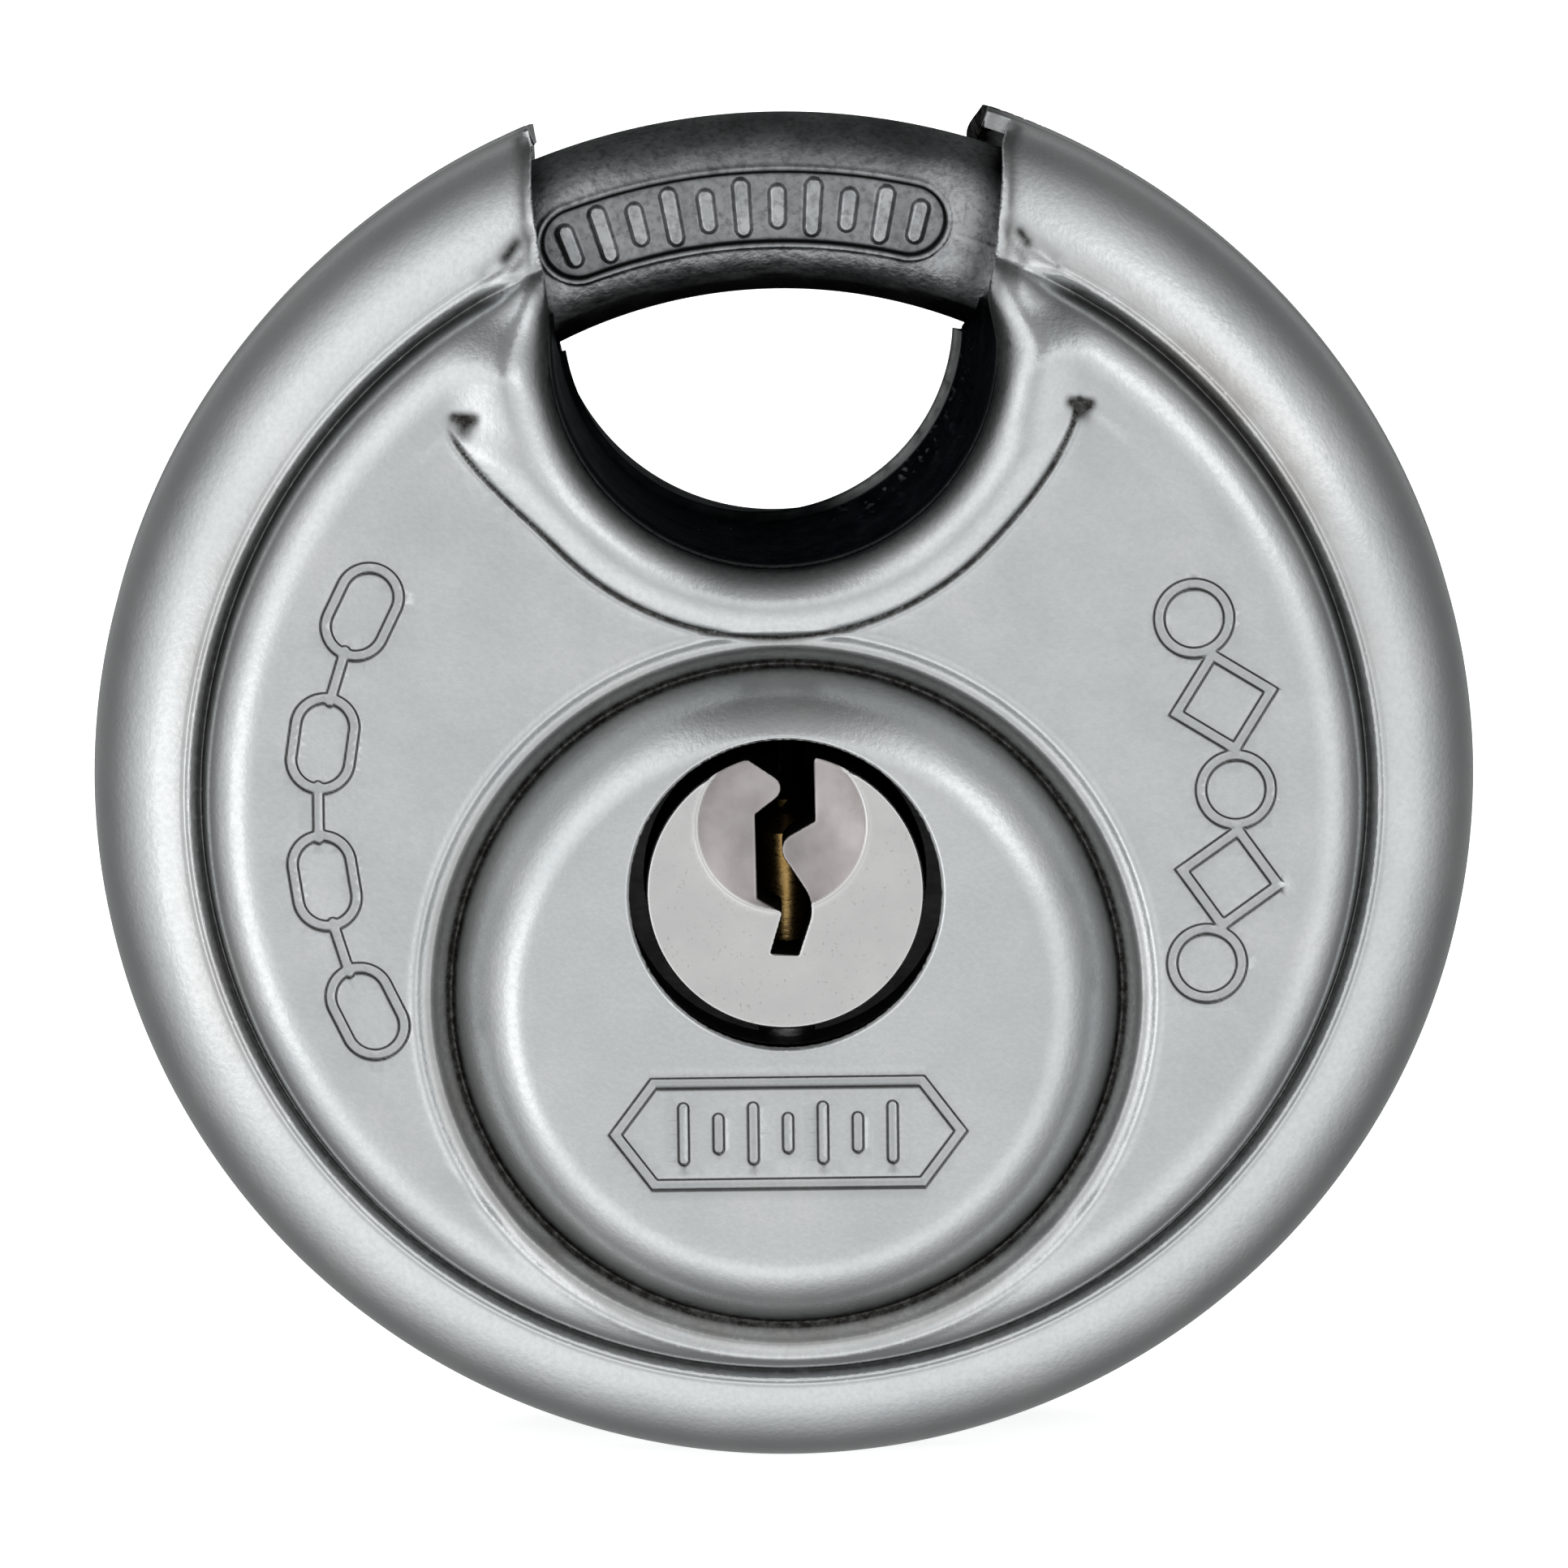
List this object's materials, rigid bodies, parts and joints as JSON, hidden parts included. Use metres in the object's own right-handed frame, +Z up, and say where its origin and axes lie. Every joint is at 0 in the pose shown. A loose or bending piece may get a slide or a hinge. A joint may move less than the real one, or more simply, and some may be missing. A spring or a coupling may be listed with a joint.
{
  "type": "disc padlock",
  "caption": "Round disc padlock: two welded drawn steel shells with a raised cylinder boss, a U-shaped throat and a ring shackle that the key turns across it.",
  "frame": {"origin": "centre of the round case in its middle plane, on the axis that the shackle turns about", "axes": "+Z up with the throat and shackle at the top, lock face towards -Y, +X to the right seen from the lock face"},
  "size_m": [0.05, 0.0179, 0.0491],
  "materials": {
    "case_steel": "satin drawn stainless steel, faintly mottled",
    "liner_steel": "dark hardened steel with a drawn grain",
    "shackle_steel": "matt hardened steel bar",
    "die_cast": "plain zinc die casting",
    "plug_metal": "nickel-plated brass, satin",
    "mechanism_steel": "ground steel",
    "brass": "turned brass",
    "spring_steel": "drawn spring wire"
  },
  "bodies": {
    "case": {"front_shell": "case_steel", "back_shell": "case_steel", "notch_liner": "liner_steel", "lock_housing": "die_cast", "anti_drill_disc": "liner_steel", "chamber_cover": "brass", "pin_spring_1": "spring_steel", "pin_spring_2": "spring_steel", "pin_spring_3": "spring_steel", "pin_spring_4": "spring_steel"},
    "shackle": {"shackle": "shackle_steel"},
    "plug": {"cylinder_plug": "plug_metal", "plug_clip": "liner_steel", "driver_arm": "mechanism_steel", "arm_dowel": "mechanism_steel"},
    "key_pin_1": {"key_pin_1": "brass"},
    "key_pin_2": {"key_pin_2": "brass"},
    "key_pin_3": {"key_pin_3": "brass"},
    "key_pin_4": {"key_pin_4": "brass"},
    "driver_pin_1": {"driver_pin_1": "mechanism_steel"},
    "driver_pin_2": {"driver_pin_2": "mechanism_steel"},
    "driver_pin_3": {"driver_pin_3": "mechanism_steel"},
    "driver_pin_4": {"driver_pin_4": "mechanism_steel"}
  },
  "joints": [
    {"name": "shackle_turn", "type": "hinge", "parent": "case", "child": "shackle", "pos_m": [0, 0, 0], "axis": [0, 1, 0], "range_deg": [0, 60]},
    {"name": "plug_turn", "type": "hinge", "parent": "case", "child": "plug", "pos_m": [0, 0, -0.0028], "axis": [0, 1, 0], "range_deg": [0, 70.3]},
    {"name": "key_pin_1_slide", "type": "slide", "parent": "plug", "child": "key_pin_1", "axis": [0, 0, 1], "range_m": [0, 0.0012]},
    {"name": "key_pin_2_slide", "type": "slide", "parent": "plug", "child": "key_pin_2", "axis": [0, 0, 1], "range_m": [0, 0.0012]},
    {"name": "key_pin_3_slide", "type": "slide", "parent": "plug", "child": "key_pin_3", "axis": [0, 0, 1], "range_m": [0, 0.0012]},
    {"name": "key_pin_4_slide", "type": "slide", "parent": "plug", "child": "key_pin_4", "axis": [0, 0, 1], "range_m": [0, 0.0012]},
    {"name": "driver_pin_1_slide", "type": "slide", "parent": "case", "child": "driver_pin_1", "axis": [0, 0, 1], "range_m": [-0.0015, 0], "stiffness_N_per_m": 60, "springref_m": 0.002, "deforming": ["pin_spring_1"]},
    {"name": "driver_pin_2_slide", "type": "slide", "parent": "case", "child": "driver_pin_2", "axis": [0, 0, 1], "range_m": [-0.0015, 0], "stiffness_N_per_m": 60, "springref_m": 0.002, "deforming": ["pin_spring_2"]},
    {"name": "driver_pin_3_slide", "type": "slide", "parent": "case", "child": "driver_pin_3", "axis": [0, 0, 1], "range_m": [-0.0015, 0], "stiffness_N_per_m": 60, "springref_m": 0.002, "deforming": ["pin_spring_3"]},
    {"name": "driver_pin_4_slide", "type": "slide", "parent": "case", "child": "driver_pin_4", "axis": [0, 0, 1], "range_m": [-0.0015, 0], "stiffness_N_per_m": 60, "springref_m": 0.002, "deforming": ["pin_spring_4"]}
  ],
  "couplings": [
    {"joint": "shackle_turn", "follows": "plug_turn", "ratio": 0.8535}
  ]
}
